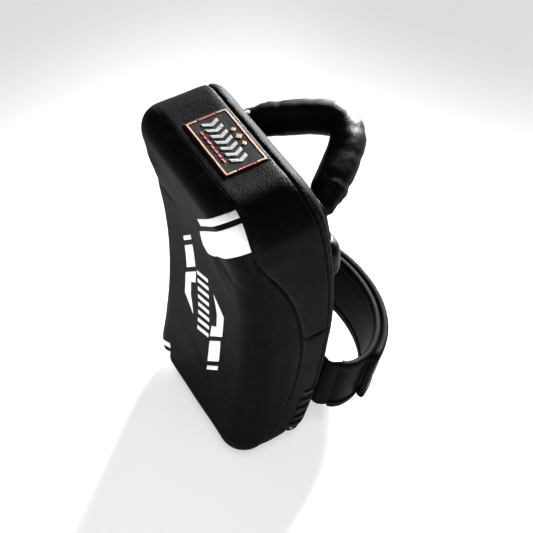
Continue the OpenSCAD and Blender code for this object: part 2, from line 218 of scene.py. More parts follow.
def leather(name, dark, light, rough, grain, depth, wear, shine=0.015):
    """Coated leather: pebbled grain with fine pores, soft creases, rubbed edges and uneven gloss."""
    m = Nodes(name)
    warp = m.add("ShaderNodeVectorMath", operation="MULTIPLY_ADD")
    m.link(m.texture("Noise", "Color", Scale=grain * 0.45, Detail=2.0), warp.inputs[0])
    warp.inputs[1].default_value = (0.0011,) * 3
    m.link(m.coord, warp.inputs[2])
    bent = warp.outputs[0]
    pebbles = m.pebbles(grain, bent)
    fine = m.cells(grain * 2.3, bent)
    creases = m.noise(grain * 0.16, 4.0, 0.6)
    pores = m.noise(grain * 3.2, 2.0)
    broad = m.noise(9.0, 3.0)
    tone = m.math("MULTIPLY", m.math("ADD", broad, creases), 0.5)
    base = m.mix(m.range(tone, 0.35, 0.65, 0.0, 1.0), dark, light)
    scuffs = m.range(m.noise(130.0, 5.0, 0.7), 0.42, 0.62, 0.0, wear)
    worn = m.add("ShaderNodeAttribute", attribute_name="wear").outputs["Fac"]
    m.colour(m.mix(m.math("MULTIPLY", worn, scuffs), base, (0.05, 0.048, 0.046)))
    m.rough(m.math("ADD", m.range(broad, 0.3, 0.7, rough - 0.05, rough + 0.05),
                   m.range(pebbles, 0.0, 1.0, 0.06, -0.03)))
    m.bump((creases, 0.0008, 0.25), (pebbles, depth, 0.55), (fine, depth * 0.5, 0.25),
           (pores, depth * 0.3, 0.2))
    m.set(Specular_IOR_Level=shine, IOR=1.35)
    return m.mat


def cloth(name, dark, light, pitch, depth, rough):
    """Woven thread: yarns that cross, with uneven dye."""
    m = Nodes(name)
    warp = m.wave(pitch, "X", 0.6)
    weft = m.wave(pitch, "Y", 0.6)
    rise = m.wave(pitch, "Z", 0.6)
    yarn = m.math("MAXIMUM", m.math("MULTIPLY", warp, weft), m.math("MULTIPLY", rise, 0.8))
    fuzz = m.noise(pitch * 3.0, 3.0)
    m.colour(m.mix(m.math("MULTIPLY", m.math("ADD", yarn, fuzz), 0.5), dark, light))
    m.rough(m.range(fuzz, 0.3, 0.7, rough - 0.08, rough + 0.06))
    m.bump((yarn, depth, 0.6), (fuzz, depth * 0.5, 0.4))
    m.set(Specular_IOR_Level=0.04, IOR=1.35, Sheen_Weight=0.02, Sheen_Roughness=0.5)
    return m.mat


def thread(name, dark, light, pitch, rough=0.45):
    """Satin stitches that lie side by side."""
    m = Nodes(name)
    spin = m.add("ShaderNodeVectorRotate", rotation_type="Z_AXIS", Angle=0.6)
    m.link(m.coord, spin.inputs["Vector"])
    run = m.wave(pitch, "X", 0.8, spin.outputs[0])
    fuzz = m.noise(pitch * 2.0, 3.0)
    m.colour(m.mix(m.math("MULTIPLY", m.math("ADD", run, fuzz), 0.5), dark, light))
    m.rough(m.range(fuzz, 0.3, 0.7, rough - 0.08, rough + 0.12))
    m.bump((run, 0.00025, 0.7), (fuzz, 0.0001, 0.4))
    m.set(Specular_IOR_Level=0.1, Sheen_Weight=0.02)
    return m.mat


def ink(name):
    """Screen-printed film: the leather grain shows through, with tiny scuffs."""
    m = Nodes(name)
    pebbles = m.pebbles(900.0)
    scuff = m.range(m.noise(420.0, 6.0, 0.75), 0.66, 0.74, 0.0, 1.0)
    broad = m.noise(22.0, 3.0)
    base = m.mix(m.range(broad, 0.3, 0.7, 0.0, 1.0), (0.58, 0.58, 0.575), (0.66, 0.66, 0.655))
    m.colour(m.mix(m.math("MULTIPLY", scuff, 0.35), base, (0.35, 0.35, 0.34)))
    m.rough(m.range(broad, 0.3, 0.7, 0.42, 0.52))
    m.bump((pebbles, 0.0003, 0.35), (scuff, 0.0001, 0.2))
    m.set(Specular_IOR_Level=0.4)
    return m.mat


def fuzz_tape(name, colour, scale):
    """Hook-and-loop tape: a dense field of small loops."""
    m = Nodes(name)
    loops = m.cells(scale)
    tangle = m.noise(scale * 1.7, 4.0, 0.7)
    m.colour(m.mix(tangle, tuple(c * 0.5 for c in colour), tuple(c * 1.6 for c in colour)))
    m.rough(m.range(tangle, 0.3, 0.7, 0.85, 1.0))
    m.bump((loops, 0.0005, 0.8), (tangle, 0.0004, 0.6))
    m.set(Sheen_Weight=0.02, Sheen_Roughness=0.6, Specular_IOR_Level=0.1)
    return m.mat


def foam(name):
    """Open cells of cut foam."""
    m = Nodes(name)
    cells = m.cells(900.0)
    broad = m.noise(40.0, 3.0)
    m.colour(m.mix(broad, (0.035, 0.035, 0.04), (0.07, 0.07, 0.075)))
    m.rough(m.range(cells, 0.0, 0.6, 0.8, 0.95))
    m.bump((cells, 0.0004, 0.7))
    return m.mat


DARK, LIGHT = (0.0018, 0.0018, 0.002), (0.004, 0.004, 0.0043)
# The two long faces use a slightly darker copy of the side leather; the darker colour is painted shade.
MAT_FACES_PAINTED_SHADE = leather("leather_faces_painted_shade", (0.0016, 0.0016, 0.0018), (0.0036, 0.0036, 0.0039),
                   rough=0.50, grain=780.0, depth=0.00042, wear=0.10)
MAT_SIDE = leather("leather_side", DARK, LIGHT, rough=0.40, grain=780.0, depth=0.0004, wear=0.10)
MAT_TUBE = leather("leather_handle", DARK, LIGHT, rough=0.35, grain=950.0, depth=0.0003, wear=0.12,
                   shine=0.06)
MAT_STRAP = leather("leather_strap", DARK, LIGHT, rough=0.37, grain=950.0, depth=0.0003, wear=0.12)
MAT_BIND = leather("leather_binding", (0.0024, 0.0024, 0.0026), (0.005, 0.005, 0.0053),
                   rough=0.40, grain=1200.0, depth=0.00025, wear=0.18)
MAT_INK = ink("print_white")
MAT_LABEL = cloth("label_weave", (0.003, 0.003, 0.0033), (0.010, 0.010, 0.0107), 1100.0, 0.0002, 0.85)
MAT_COPPER = thread("thread_copper", (0.15, 0.065, 0.03), (0.34, 0.18, 0.09), 900.0)
MAT_RED = thread("thread_red", (0.14, 0.003, 0.003), (0.28, 0.008, 0.008), 900.0)
MAT_SILVER = thread("thread_silver", (0.09, 0.09, 0.088), (0.20, 0.20, 0.196), 900.0)
MAT_STITCH = thread("thread_black", (0.006, 0.006, 0.007), (0.028, 0.028, 0.03), 1500.0, 0.55)
MAT_LACE = cloth("lace_braid", (0.002, 0.002, 0.0023), (0.008, 0.008, 0.0087), 620.0, 0.0003, 0.42)
MAT_TONGUE = cloth("tongue_web", (0.002, 0.002, 0.0023), (0.006, 0.006, 0.0066), 700.0, 0.0003, 0.85)
MAT_HOOK = fuzz_tape("hook_tape", (0.004, 0.004, 0.0043), 1500.0)
MAT_LOOP = fuzz_tape("loop_tape", (0.006, 0.006, 0.0065), 1000.0)
MAT_FOAM = foam("foam_cells")


# ------ mesh helpers


def piece(name, verts, faces, material, body, replaces=(), wear=None):
    """A smooth mesh object from points in mm, which rides on a body unless that is None."""
    mesh = bpy.data.meshes.new(name)
    mesh.from_pydata((np.asarray(verts, float) * MM).tolist(), [], [list(f) for f in faces])
    mesh.polygons.foreach_set("use_smooth", [True] * len(mesh.polygons))
    if wear is not None:
        layer = mesh.attributes.new("wear", "FLOAT", "POINT")
        layer.data.foreach_set("value", np.asarray(wear, np.float32))
    mesh.update()
    obj = bpy.data.objects.new(name, mesh)
    scene.collection.objects.link(obj)
    obj.data.materials.append(material)
    if body:
        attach(obj, body)
    if replaces:
        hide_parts(*replaces)
    return obj


def normals_of(verts, quads):
    """Vertex normals of a mesh of quads."""
    idx = np.array(quads)
    p = verts[idx]
    n = np.cross(p[:, 2] - p[:, 0], p[:, 3] - p[:, 1])
    out = np.zeros_like(verts)
    for k in range(4):
        np.add.at(out, idx[:, k], n)
    return unit(out)


def thicken(verts, faces, normals, depth):
    """A closed solid from an open sheet: an inner copy and walls along its free edges."""
    n = len(verts)
    edges = dict.fromkeys((a, b) for f in faces for a, b in zip(f, list(f[1:]) + [f[0]]))
    rim = [(b, a, a + n, b + n) for a, b in edges if (b, a) not in edges]
    inner = [tuple(i + n for i in reversed(f)) for f in faces]
    return np.vstack([verts, verts - normals * depth]), list(faces) + inner + rim


def compact(verts, faces, *extras):
    """Only the vertices that the faces use, with the matching rows of the extras."""
    used = np.unique(np.array(faces))
    where = np.zeros(len(verts), int)
    where[used] = np.arange(len(used))
    return (verts[used], [tuple(where[list(f)]) for f in faces], *[e[used] for e in extras])


def grid_faces(rows, cols, wrap=False):
    """Quads over rows x cols points, stored row by row."""
    out = []
    for r in range(rows - 1):
        for c in range(cols if wrap else cols - 1):
            d = (c + 1) % cols
            out.append((r * cols + c, r * cols + d, (r + 1) * cols + d, (r + 1) * cols + c))
    return out


def tube_faces(rings, sides):
    """Quads round a tube of rings, and its two end caps last."""
    last = (rings - 1) * sides
    return grid_faces(rings, sides, True) + [tuple(range(sides))[::-1], tuple(range(last, last + sides))]


# ------ the pad's skin, as one grid

# Rows of the grid, each on a rounded corner: the corner's centre (x, z), its radius, the angle round it
LOW_STEPS, TOP_STEPS = 22, 26
low_x, top_x, top_z = HALF - LOW_CORNER, HALF - TOP_CORNER, HEIGHT - TOP_CORNER
side_z = [*np.linspace(LOW_CORNER, GUSSET_JOIN, 79)[:-1], *np.linspace(GUSSET_JOIN, top_z, 81)]
rows = [(low_x, LOW_CORNER, LOW_CORNER, -90 + 90 * i / LOW_STEPS) for i in range(LOW_STEPS)]
rows += [(low_x, z, LOW_CORNER, 0.0) for z in side_z]
rows += [(top_x, top_z, TOP_CORNER, 90 * i / TOP_STEPS) for i in range(1, TOP_STEPS + 1)]
ROWS, COLS = len(rows), 91
share = np.linspace(-1, 1, COLS)

# Loop of outline points: up the right side, over the top, down the left side, back along the floor
loop = [(*row, 1.0) for row in rows]
loop += [(share[j] * top_x, top_z, TOP_CORNER, 90.0, 1.0) for j in range(COLS - 2, 0, -1)]
loop += [(*row, -1.0) for row in reversed(rows)]
loop += [(share[j] * low_x, LOW_CORNER, LOW_CORNER, -90.0, 1.0) for j in range(1, COLS - 1)]
LOOP = len(loop)
PROFILE_STEPS = 26


def profile(point):
    """Dense points from the edge of the striking face over the wall to the edge of the arm side."""
    cx, cz, r, a, side = point
    ca, sa = math.cos(math.radians(a)), math.sin(math.radians(a))
    n = PROFILE_STEPS
    front, rear = np.radians(np.linspace(90, 0, n)), np.radians(np.linspace(0, 90, n))
    inset = np.concatenate([FACE_ROUND * (1 - np.cos(front)), np.zeros(n), BACK_ROUND * (1 - np.cos(rear))])
    z = cz + (r - inset) * sa
    rim_z = cz + r * sa
    wall = np.linspace(face_y(rim_z) + FACE_ROUND, back_y(rim_z) - BACK_ROUND, n + 2)[1:-1]
    y = np.concatenate([face_y(z[:n]) + FACE_ROUND * (1 - np.sin(front)), wall,
                        back_y(z[-n:]) - BACK_ROUND * (1 - np.sin(rear))])
    return np.stack([side * (cx + (r - inset) * ca), y, z], axis=1)


# The seam between face panel and gusset, seen from the side: a circle (centre y, z and radius) that
# runs into a straight line (its y) near the top, blended over some mm
SEAM_Y, SEAM_Z, SEAM_RADIUS, SEAM_LINE, SEAM_BLEND = -255.0, 165.0, 280.0, -37.0, 22.0


def seam_side(p):
    """Below zero in front of the seam between face panel and gusset, mm."""
    disk = np.hypot(p[:, 1] - SEAM_Y, p[:, 2] - SEAM_Z) - SEAM_RADIUS
    top = np.where(p[:, 2] > SEAM_Z, p[:, 1] - SEAM_LINE, 1e3)
    h = np.clip(0.5 + 0.5 * (top - disk) / SEAM_BLEND, 0, 1)
    return top * (1 - h) + disk * h - SEAM_BLEND * h * (1 - h)


def behind(p, distance):
    """Above zero closer to the arm side than distance, mm."""
    apex, radius, middle = BACK_ARC
    return np.hypot(p[:, 1] + (radius - apex), p[:, 2] - middle) - (radius - distance)


def crossing(s, value):
    """Where value first turns positive along s."""
    k = np.where((value[:-1] <= 0) & (value[1:] > 0))[0][0]
    return s[k] + (s[k + 1] - s[k]) * (-value[k]) / (value[k + 1] - value[k])


def eased(count):
    """Stations up to 1, closer together at both ends, without the one at 0."""
    return 0.5 - 0.5 * np.cos(math.pi * np.linspace(0, 1, count + 1)[1:])


# Rings of the band round the pad: face panel, gusset, laced opening, back rounding
N_FRONT, N_GUSSET, N_SLIT, N_BACK = 34, 26, 8, 9
R_SEAM, R_SLIT = N_FRONT, N_FRONT + N_GUSSET
R_EDGE, R_END = R_SLIT + N_SLIT, R_SLIT + N_SLIT + N_BACK
band = np.zeros((R_END + 1, LOOP, 3))
reach = np.zeros((R_END + 1, LOOP))
marks = np.zeros((3, LOOP))
for j, point in enumerate(loop):
    p = profile(point)
    s = run_of(p)
    s_seam = crossing(s, seam_side(p))
    s_slit = crossing(s, behind(p, LACE_SLIT))
    s_edge = crossing(s, behind(p, LACE_EDGE))
    marks[:, j] = s_seam, s_slit, s_edge
    reach[:, j] = np.concatenate([
        s_seam * (1 - (1 - np.linspace(0, 1, N_FRONT + 1)) ** 1.5),
        s_seam + (s_slit - s_seam) * eased(N_GUSSET),
        s_slit + (s_edge - s_slit) * eased(N_SLIT),
        s_edge + (s[-1] - s_edge) * np.linspace(0, 1, N_BACK + 1)[1:] ** 1.3])
    band[:, j] = along(reach[:, j], s, p)

# All vertices: the band first, then the inner points of the two long faces
skin_parts = [band.reshape(-1, 3)]

# Place in the loop of each point on the border of the grid, and -1 inside it
border = np.full((ROWS, COLS), -1)
border[0, 1:-1] = 2 * ROWS + COLS - 2 + np.arange(COLS - 2)
border[-1, 1:-1] = ROWS + COLS - 3 - np.arange(COLS - 2)
border[:, 0] = 2 * ROWS + COLS - 3 - np.arange(ROWS)
border[:, -1] = np.arange(ROWS)


def face_grid(ring, inset, surface):
    """Indices of a long face's grid; its border is a ring of the band."""
    idx = border + ring * LOOP
    idx[border < 0] = sum(len(v) for v in skin_parts) + np.arange((border < 0).sum())
    inner = []
    for cx, cz, r, a in rows[1:-1]:
        edge = cx + (r - inset) * math.cos(math.radians(a))
        z = cz + (r - inset) * math.sin(math.radians(a))
        inner += [(s * edge, float(surface(z)), z) for s in share[1:-1]]
    skin_parts.append(np.array(inner))
    return idx


face_idx = face_grid(0, FACE_ROUND, face_y)
back_idx = face_grid(R_END, BACK_ROUND, back_y)
skin = np.vstack(skin_parts)

# Faces of the skin, turned outward; those of the band are kept by ring and place in the loop
band_quads = {}
for k in range(R_END):
    for j in range(LOOP):
        d = (j + 1) % LOOP
        band_quads[k, j] = ((k + 1) * LOOP + j, (k + 1) * LOOP + d, k * LOOP + d, k * LOOP + j)
face_quads = [(face_idx[i, j], face_idx[i, j + 1], face_idx[i + 1, j + 1], face_idx[i + 1, j])
              for i in range(ROWS - 1) for j in range(COLS - 1)]
back_quads = [(back_idx[i, j], back_idx[i + 1, j], back_idx[i + 1, j + 1], back_idx[i, j + 1])
              for i in range(ROWS - 1) for j in range(COLS - 1)]
all_quads = face_quads + back_quads + list(band_quads.values())
skin_normals = normals_of(skin, all_quads)

# ------ soft relief of the skin

BAND_SIZE = (R_END + 1) * LOOP
FAR = 60.0  # distance that stands for the long faces, where no seam is near


def past(mark):
    """Distance of every skin point past one of the lines round the wall, mm."""
    out = np.full(len(skin), FAR)
    out[:BAND_SIZE] = (reach - mark).reshape(-1)
    return out


to_seam, to_slit, to_edge = (past(mark) for mark in marks)
run = np.zeros(len(skin))
run[:BAND_SIZE] = np.tile(run_of(band[R_SEAM]), R_END + 1)
x, y, z = skin.T
laced = 1 - smooth(LACE_FROM - 1.0, LACE_FROM + 1.0, z)


def groove(distance, deep, wide, puff):
    """A sewn line: a narrow cut in a wide dip, with the leather puffed up beside it."""
    d = np.abs(distance)
    cut = -deep * np.exp(-(d / wide) ** 2) - 0.35 * deep * np.exp(-(d / (3.2 * wide)) ** 2)
    return cut + puff * (d / 9.0) * np.exp(1 - d / 9.0)


def ridge(a, b, wide, high):
    """A long soft fold on the striking face from a to b, each (x, z) in mm."""
    ax, az = a
    dx, dz = b[0] - ax, b[1] - az
    t = np.clip(((x - ax) * dx + (z - az) * dz) / (dx * dx + dz * dz), 0, 1)
    d = np.hypot(x - ax - t * dx, z - az - t * dz)
    ends = np.sin(math.pi * (0.12 + 0.76 * t)) ** 0.7
    return np.where(y < 8, high * np.exp(-(d / wide) ** 2) * ends, 0.0)


wrinkles = 0.34 * np.sin(run * 2 * math.pi / 10.5 + 2.5 * noise_at(skin, 0.02, 3))
pucker = np.exp(-np.abs(to_seam) / 6.5) * (wrinkles * (0.5 + 0.5 * noise_at(skin, 0.012, 4)))
low_seam = 1 - 0.95 * smooth(325.0, 368.0, z)
relief = 0.75 * noise_at(skin, 0.013, 1) + 0.35 * noise_at(skin, 0.034, 2) + pucker * low_seam
relief += groove(to_seam, 1.35, 1.5, 0.7) * low_seam
relief += groove(to_edge, 1.2, 1.4, 0.5) * (1 - laced)
relief += groove(to_slit, 0.5, 1.6, 0.45) * laced
on_gusset = (to_seam > -1) & (to_slit < 14)
relief += np.where(on_gusset, groove(z - GUSSET_JOIN, 1.0, 1.3, 0.35) * smooth(0.0, 3.0, to_seam), 0.0)
for start, stop, wide, high in (((34, 300), (80, 292), 7.0, -1.7), ((60, 322), (92, 330), 11.0, 1.5),
                                ((10, 306), (52, 262), 9.0, 1.1), ((-34, 300), (-80, 292), 7.0, -1.2),
                                ((-60, 322), (-92, 330), 11.0, 1.1), ((-14, 96), (40, 70), 9.0, -0.7)):
    relief += ridge(start, stop, wide, high)
edge_fold = np.exp(-((to_edge - 3) / 7.0) ** 2) * noise_at(skin * np.array([1.0, 0.3, 1.0]), 0.07, 6)
relief += 0.55 * edge_fold * (1 - laced)
relief *= 0.25 + 0.75 * smooth(0.0, 14.0, z)
skin = skin + skin_normals * relief[:, None]
skin[:, 2] = np.maximum(skin[:, 2], 0.0)
skin_normals = normals_of(skin, all_quads)
seam_wear = np.exp(-((np.abs(to_seam) - 4.0) / 4.0) ** 2)
skin_wear = np.clip(seam_wear + np.exp(-((to_edge - 4.0) / 3.0) ** 2), 0, 1)

skin_tree = BVHTree.FromPolygons([Vector(p) for p in skin], [list(q) for q in all_quads])


def surface_at(origin, direction):
    """First point of the pad's skin along a ray, with its normal, in mm."""
    hit, normal, _, _ = skin_tree.ray_cast(Vector(origin), Vector(direction))
    return np.array(hit), np.array(normal)


# ------ cover panels

front_faces = face_quads + [band_quads[k, j] for k in range(R_SEAM) for j in range(LOOP)]
upper, lower, back_faces, slit_faces = [], [], list(back_quads), []
for (k, j), face in band_quads.items():
    height = (band[R_SLIT, j, 2] + band[R_SLIT, (j + 1) % LOOP, 2]) / 2
    gusset = upper if height > GUSSET_JOIN else lower
    if R_SEAM <= k < R_SLIT:
        gusset.append(face)
    elif R_SLIT <= k < R_EDGE:
        (slit_faces if height < LACE_FROM else gusset).append(face)
    elif k >= R_EDGE:
        back_faces.append(face)

for name, faces, mat, slot, node in (
        ("face_leather", front_faces, MAT_FACES_PAINTED_SHADE, "black_leather", "front_panel"),
        ("gusset_leather_upper", upper, MAT_SIDE, "gusset_leather", "gusset_upper"),
        ("gusset_leather_lower", lower, MAT_SIDE, "gusset_leather", "gusset_lower"),
        ("arm_side_leather", back_faces, MAT_FACES_PAINTED_SHADE, "black_leather", "back_panel")):
    v, f, n, wear = compact(skin, faces, skin_normals, skin_wear)
    v, f = thicken(v, f, n, SKIN_THICK)
    panel = piece(name, v, f, mat, "pad", (node,), np.concatenate([wear, wear]))

v, f, n = compact(skin, slit_faces, skin_normals)
v, f = thicken(v - n * SKIN_THICK, f, n, TONGUE_THICK)
piece("lace_tongue_web", v, f, MAT_TONGUE, "pad", ("lace_tongue",))

# ------ prints on the striking face


def cut_film(name, shapes, sheet, axes, lift, thick, material, replaces):
    """A thin film cut from a sheet (points, quads, normals) by convex outlines, which run
    anticlockwise in the plane of two axes (mm)."""
    verts, faces, normals = sheet
    film = bmesh.new()
    lifted = verts + normals * lift
    corners = verts[:, list(axes)][np.array(faces)]
    low, high = corners.min(axis=1), corners.max(axis=1)
    for shape in shapes:
        shape = np.array(shape, float)
        near = np.where((high >= shape.min(0)).all(1) & (low <= shape.max(0)).all(1))[0]
        bm = bmesh.new()
        made = {}
        for k in near:
            for i in faces[k]:
                if i not in made:
                    made[i] = bm.verts.new(lifted[i])
            bm.faces.new([made[i] for i in faces[k]])
        for a, b in zip(shape, np.roll(shape, -1, axis=0)):
            outward, place = Vector((0, 0, 0)), Vector((0, 0, 0))
            outward[axes[0]], outward[axes[1]] = b[1] - a[1], a[0] - b[0]
            place[axes[0]], place[axes[1]] = a
            bmesh.ops.bisect_plane(bm, geom=bm.verts[:] + bm.edges[:] + bm.faces[:], dist=1e-5,
                                   plane_co=place, plane_no=outward.normalized(), clear_outer=True)
        mesh = bpy.data.meshes.new("cut")
        bm.to_mesh(mesh)
        bm.free()
        film.from_mesh(mesh)
        bpy.data.meshes.remove(mesh)
    bmesh.ops.remove_doubles(film, verts=film.verts, dist=0.02)
    film.normal_update()
    v = np.array([w.co for w in film.verts])
    f = [[w.index for w in g.verts] for g in film.faces]
    n = np.array([w.normal for w in film.verts])
    film.free()
    v, f = thicken(v, f, n, thick)
    piece(name, v, f, material, "pad", replaces)


def moved(points, dx, dz, angle=0.0):
    c, s = math.cos(math.radians(angle)), math.sin(math.radians(angle))
    return [(dx + p * c - q * s, dz + p * s + q * c) for p, q in points]


INK_LIFT, INK_THICK = 0.14, 0.3
TOP_PLACE, LOW_PLACE = (15, 309, 48), (-60, 42, 214)  # x, z and angle of the two corner prints
bent_bar = [[(0, 0), (23, 26), (12, 30), (2, 20)],
            [(23, 26), (26, 62), (13, 52), (12, 30)],
            [(26, 62), (7, 78), (13, 52)]]
slanted_bars = [[(14, 80), (34, 103), (34, 110), (14, 87)], [(14, 95), (34, 118), (34, 153), (14, 130)]]
near_stripe = slanted_bars + [moved(b, 14, 138) for b in bent_bar]
far_stripe = [[(-p, 352 - q) for p, q in s] for s in near_stripe]
bars = []
for k in np.arange(8) - 3.5:
    mid = 176 + 13 * k
    bars.append([(-11, mid - 8), (11, mid + 2), (11, mid + 8), (-11, mid - 2)])
top_corner = [moved([(16, 5), (168, 5), (168, 12), (16, 12)], *TOP_PLACE),
              moved([(0, 0), (-14, -14), (-10, -22), (4, -26), (160, -26), (160, 0)], *TOP_PLACE)]
low_corner = [moved([(0, 0), (120, 0), (120, 6), (0, 6)], *LOW_PLACE),
              moved([(120, 11), (120, 40), (30, 40), (12, 34), (2, 11)], *LOW_PLACE)]
face_sheet = compact(skin, front_faces, skin_normals)
for name, shapes in (("stripe_near", near_stripe), ("stripe_far", far_stripe), ("centre_bars", bars),
                     ("corner_print_top", top_corner), ("corner_print_bottom", low_corner)):
    cut_film("ink_" + name, shapes, face_sheet, (0, 2), INK_LIFT, INK_THICK, MAT_INK, (name,))

# ------ woven label on the top wall

LABEL_Y, LABEL_L, LABEL_W = -6.0, 74.0, 44.0
LABEL_LIFT, LABEL_THICK = 0.75, 0.8
EMBROIDERY_LIFT, EMBROIDERY_THICK = 0.28, 0.4
LINE = 0.7  # half the width of a line of the label's frame
FRAME_U, FRAME_V = LABEL_L / 2 - 2.6, LABEL_W / 2 - 2.6
ABOVE = 460  # a height over the pad

us = np.linspace(-LABEL_L / 2, LABEL_L / 2, int(LABEL_L) + 1)
ws = np.linspace(-LABEL_W / 2, LABEL_W / 2, int(LABEL_W) + 1) + LABEL_Y
label_v = np.array([(u, w, surface_at((u, w, ABOVE), (0, 0, -1))[0][2] + LABEL_LIFT) for u in us for w in ws])
label_f = [f[::-1] for f in grid_faces(len(us), len(ws))]
du = np.abs(np.abs(label_v[:, 0]) - LABEL_L / 2)
dw = np.abs(np.abs(label_v[:, 1] - LABEL_Y) - LABEL_W / 2)
label_v[:, 2] -= 0.55 * np.exp(-(np.minimum(du, dw) / 0.8) ** 2)
label_n = normals_of(label_v, label_f)
v, f = thicken(label_v, label_f, label_n, LABEL_THICK)
piece("label_cloth", v, f, MAT_LABEL, "pad", ("label_patch",))


def box_shape(u0, u1, w0, w1):
    return [(u0, LABEL_Y + w0), (u1, LABEL_Y + w0), (u1, LABEL_Y + w1), (u0, LABEL_Y + w1)]


def upright_line(u, w0, w1):
    return box_shape(u - LINE, u + LINE, w0, w1)


copper = [box_shape(-FRAME_U, FRAME_U, s * FRAME_V - LINE, s * FRAME_V + LINE) for s in (-1, 1)]
for a in (-1, 1):
    for s in (-1, 1):
        copper.append(upright_line(a * FRAME_U, *sorted((s * FRAME_V + s * LINE, s * FRAME_V * 0.52))))
row = LABEL_Y + 12.6
for u, s in ((-9.5, 2.6), (0, 3.6), (9.5, 2.6)):
    copper.append([(u - s, row), (u, row - s), (u + s, row), (u, row + s)])
red = [upright_line(a * FRAME_U, -FRAME_V * 0.44, FRAME_V * 0.44) for a in (-1, 1)]
red += [box_shape(k * 6.2 - 2.2, k * 6.2 + 2.2, -14.2, -12.4) for k in range(-3, 4)]
chevrons = []
low, mid, high = LABEL_Y - 8.6, LABEL_Y - 0.6, LABEL_Y + 7.4
for k in range(-3, 4):
    c = k * 8.2 - 1.5
    chevrons += [[(c - 3.4, low), (c + 0.6, low), (c + 4.6, mid), (c + 0.6, mid)],
                 [(c + 0.6, mid), (c + 4.6, mid), (c + 0.6, high), (c - 3.4, high)]]
for name, shapes, mat, slot, nodes in (
        ("label_frame", copper, MAT_COPPER, "copper_thread", ("label_border",)),
        ("label_ticks", red, MAT_RED, "copper_thread", ()),
        ("label_chevrons", chevrons, MAT_SILVER, "silver_thread", ("label_motif",))):
    cut_film(name, shapes, (label_v, label_f, label_n), (0, 1), EMBROIDERY_LIFT, EMBROIDERY_THICK,
             mat, nodes)

# ------ stitches

STITCH_START, STITCH_PITCH, STITCH_LENGTH = 0.6, 4.2, 3.1
# Rings of one stitch: place along it, rise over the leather and fullness, as shares of length or radius
STITCH_RINGS = ((0.0, -0.6, 0.35), (0.14, 0.25, 1), (0.5, 0.55, 1.05), (0.86, 0.25, 1), (1.0, -0.6, 0.35))
STITCH_SIDES = 6
SEAM_THREAD, EDGE_THREAD = 0.26, 0.3


def stitches(name, path, normals, body, radius):
    """A row of thread stitches along a path of points, with the surface normal at each."""
    path, normals = np.asarray(path, float), np.asarray(normals, float)
    s = run_of(path)
    vs, fs = [], []
    t = STITCH_START
    while t + STITCH_LENGTH < s[-1]:
        at = t + STITCH_LENGTH * np.array([ring[0] for ring in STITCH_RINGS])
        c = along(at, s, path)
        n = unit(along(at, s, normals))
        d = unit(c[-1] - c[0])
        fs += [tuple(len(vs) + i for i in f) for f in tube_faces(len(STITCH_RINGS), STITCH_SIDES)]
        for k, (_, rise, fat) in enumerate(STITCH_RINGS):
            b = np.cross(d, n[k])
            for q in range(STITCH_SIDES):
                a = 2 * math.pi * q / STITCH_SIDES
                vs.append(c[k] + n[k] * radius * (rise + fat * math.sin(a)) + b * radius * fat * math.cos(a))
        t += STITCH_PITCH
    return piece(name, vs, fs, MAT_STITCH, body)


def ring_path(ring, columns, shift):
    """Points and normals beside a seam ring of the skin, moved along the wall by shift mm."""
    pts, nor = [], []
    for j in columns:
        at = reach[ring, j] + shift
        ids = np.arange(R_END + 1) * LOOP + j
        pts.append(along(at, reach[:, j], skin[ids]))
        nor.append(unit(along(at, reach[:, j], skin_normals[ids])))
    return pts, nor


SEAM_TOP = 345  # the stitches of the face seam go out of sight above this height
from_left = [*range(LOOP // 2, LOOP), *range(LOOP // 2)]
below_top = [j for j in from_left if band[R_SEAM, j, 2] < SEAM_TOP]
above_lace = [j for j in range(LOOP) if band[R_SLIT, j, 2] > LACE_FROM + 2]
stitches("stitch_face_seam", *ring_path(R_SEAM, below_top, 2.6), "pad", SEAM_THREAD)
stitches("stitch_back_seam", *ring_path(R_EDGE, above_lace, -2.6), "pad", SEAM_THREAD)
stitches("stitch_back_seam_inner", *ring_path(R_EDGE, above_lace, 2.8), "pad", SEAM_THREAD)

# ------ sewn tabs on the arm side

TAB_THICK, TAB_ROUND, TAB_SINK = 3.0, 1.4, 0.4
TAB_TURN = 9  # points round each corner of a tab
BEHIND = 160  # a distance out from the arm side


def on_back(points, z0):
    """Local points (x, outward, up) in the frame of the arm side at height z0 -> mm."""
    p = np.asarray(points, float)
    _, radius, middle = BACK_ARC
    s = math.asin((z0 - middle) / radius)
    by = float(back_y(z0))
    return np.stack([p[..., 0], by + p[..., 1] * math.cos(s) - p[..., 2] * math.sin(s),
                     z0 + p[..., 1] * math.sin(s) + p[..., 2] * math.cos(s)], axis=-1)


def tab_ring(outline, inset):
    """Points and normals of the skin round a rounded rectangle, drawn in by inset mm. The outline is
    its centre (x, z), half width, half height and corner radius."""
    cx, cz, hx, hz, corner = outline
    r = max(corner - inset, 0.3)
    ring = []
    for q, sx, sz in ((0, 1, 1), (1, -1, 1), (2, -1, -1), (3, 1, -1)):
        for i in range(TAB_TURN):
            a = math.pi / 2 * (q + i / (TAB_TURN - 1))
            px = cx + sx * (hx - inset - r) + r * math.cos(a)
            pz = cz + sz * (hz - inset - r) + r * math.sin(a)
            ring.append(surface_at((px, BEHIND, pz), (0, -1, 0)))
    return ring


def tab(name, outline, node):
    """A leather tab that follows the arm side, with a rounded outline and edge."""
    steps = [(0.0, -TAB_SINK), (0.0, TAB_THICK * 0.45), (TAB_ROUND * 0.35, TAB_THICK * 0.86)]
    middle = min(outline[2:4]) - TAB_ROUND
    steps += [(TAB_ROUND + middle * t, TAB_THICK) for t in (0, 0.12, 0.3, 0.5, 0.7, 0.86, 0.97)]
    v = [p + n * high for inset, high in steps for p, n in tab_ring(outline, inset)]
    f = [g[::-1] for g in tube_faces(len(steps), 4 * TAB_TURN)]
    piece(name, v, f, MAT_SIDE, "pad", (node,))


